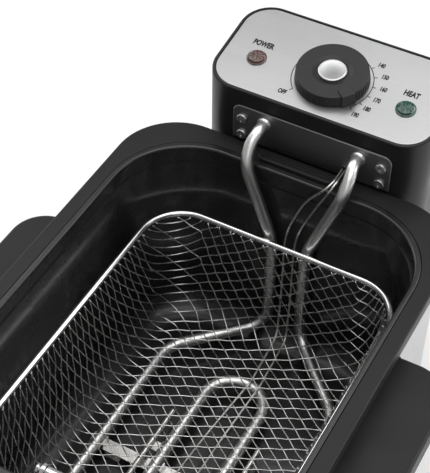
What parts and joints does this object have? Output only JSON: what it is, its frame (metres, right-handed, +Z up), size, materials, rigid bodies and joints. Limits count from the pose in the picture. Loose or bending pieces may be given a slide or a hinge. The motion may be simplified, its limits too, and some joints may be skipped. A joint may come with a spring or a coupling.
{
  "type": "deep fryer",
  "caption": "Deep fryer with steel-wrapped body, enamelled pot, wire basket with folding handle, and a lift-out control head with tube heater and dial.",
  "frame": {"origin": "bottom centre of the whole object's box, on the surface it stands on", "axes": "+Z up, -Y to the front (basket handle), +Y to the back (control head), +X to the right seen from the front"},
  "size_m": [0.336, 0.5788, 0.2693],
  "materials": {
    "steel_wrap": "brushed",
    "black_plastic": "fine satin texture",
    "base_plastic": "matt",
    "foot_rubber": "matt",
    "zinc_screw": "bright zinc",
    "rail_steel": "galvanised",
    "pot_enamel": "gloss vitreous enamel",
    "head_plastic": "satin",
    "panel_silver": "fine brushed, anodised",
    "lens_red": "translucent, unlit",
    "lens_green": "translucent, unlit",
    "inner_plastic": "moulded nylon",
    "mount_steel": "satin stainless, oil darkened",
    "gasket_rubber": "matt silicone",
    "chassis_steel": "galvanised",
    "element_steel": "satin stainless",
    "sensor_steel": "bright drawn",
    "terminal_brass": "turned",
    "thermostat_case": "plated",
    "reset_plastic": "moulded",
    "knob_plastic": "fine satin",
    "knob_cap_alu": "spun, satin",
    "shaft_steel": "turned",
    "basket_wire": "satin nickel chrome",
    "basket_gauze": "plated woven wire",
    "grip_plastic": "fine texture",
    "latch_plastic": "moulded"
  },
  "bodies": {
    "housing": {"outer_sleeve": "steel_wrap", "top_bezel": "black_plastic", "base_tray": "base_plastic", "rubber_feet": "foot_rubber", "base_screws": "zinc_screw", "right_carry_handle": "black_plastic", "left_carry_handle": "black_plastic", "carry_handle_screws": "zinc_screw", "head_guide_rails": "rail_steel", "rail_screws": "zinc_screw", "rim_rest_pad": "black_plastic"},
    "oil_pot": {"oil_pot": "pot_enamel"},
    "control_head": {"head_shell": "head_plastic", "control_panel": "panel_silver", "head_bottom_cover": "base_plastic", "bottom_cover_screws": "zinc_screw", "head_back_cover": "base_plastic", "back_cover_screws": "zinc_screw", "cord_gland": "base_plastic", "power_lamp_lens": "lens_red", "heat_lamp_lens": "lens_green", "lamp_holders": "inner_plastic", "element_mount_plate": "mount_steel", "plate_gasket": "gasket_rubber", "plate_screws": "zinc_screw", "head_chassis": "chassis_steel", "element_ferrules": "element_steel", "heating_element": "element_steel", "element_terminals": "terminal_brass", "element_support": "sensor_steel", "thermostat_bulb": "sensor_steel", "thermostat_capillary": "sensor_steel", "cutout_bulb": "sensor_steel", "cutout_capillary": "sensor_steel", "bulb_clips": "sensor_steel", "thermostat_body": "thermostat_case", "cutout_body": "inner_plastic", "microswitch": "base_plastic", "plunger_spring": "zinc_screw", "terminal_block": "inner_plastic"},
    "thermostat_knob": {"knob_body": "knob_plastic", "knob_cap": "knob_cap_alu", "knob_shaft": "shaft_steel"},
    "reset_button": {"reset_button": "reset_plastic"},
    "interlock_plunger": {"interlock_plunger": "inner_plastic"},
    "fry_basket": {"basket_rim": "basket_wire", "basket_mesh": "basket_gauze", "basket_bracket": "basket_wire", "basket_clips": "basket_wire", "hinge_pin": "zinc_screw"},
    "basket_handle": {"handle_frame": "basket_wire", "handle_grip": "grip_plastic"},
    "fold_latch": {"fold_latch": "latch_plastic"}
  },
  "joints": [
    {"name": "pot_lift", "type": "slide", "parent": "housing", "child": "oil_pot", "axis": [0, 0, 1], "range_m": [0, 0.19]},
    {"name": "head_lift", "type": "slide", "parent": "oil_pot", "child": "control_head", "axis": [0, 0, 1], "range_m": [0, 0.18]},
    {"name": "knob_turn", "type": "hinge", "parent": "control_head", "child": "thermostat_knob", "pos_m": [0, 0.23227, 0.25669], "axis": [0, -0.1478, 0.989], "range_deg": [0, 265]},
    {"name": "reset_press", "type": "slide", "parent": "control_head", "child": "reset_button", "axis": [0, -1, 0], "range_m": [0, 0.002], "stiffness_N_per_m": 400, "springref_m": -0.001},
    {"name": "interlock_press", "type": "slide", "parent": "control_head", "child": "interlock_plunger", "axis": [0, 0, 1], "range_m": [0, 0.002], "stiffness_N_per_m": 300, "springref_m": -0.001, "deforming": ["plunger_spring"]},
    {"name": "basket_lift", "type": "slide", "parent": "control_head", "child": "fry_basket", "axis": [0, 0, 1], "range_m": [0, 0.22]},
    {"name": "handle_fold", "type": "hinge", "parent": "fry_basket", "child": "basket_handle", "pos_m": [0.0016, -0.12531, 0.21], "axis": [-1, 0, 0], "range_deg": [0, 165]},
    {"name": "latch_slide", "type": "slide", "parent": "basket_handle", "child": "fold_latch", "axis": [0, -0.9781, 0.2079], "range_m": [0, 0.006], "stiffness_N_per_m": 200, "springref_m": -0.001}
  ]
}
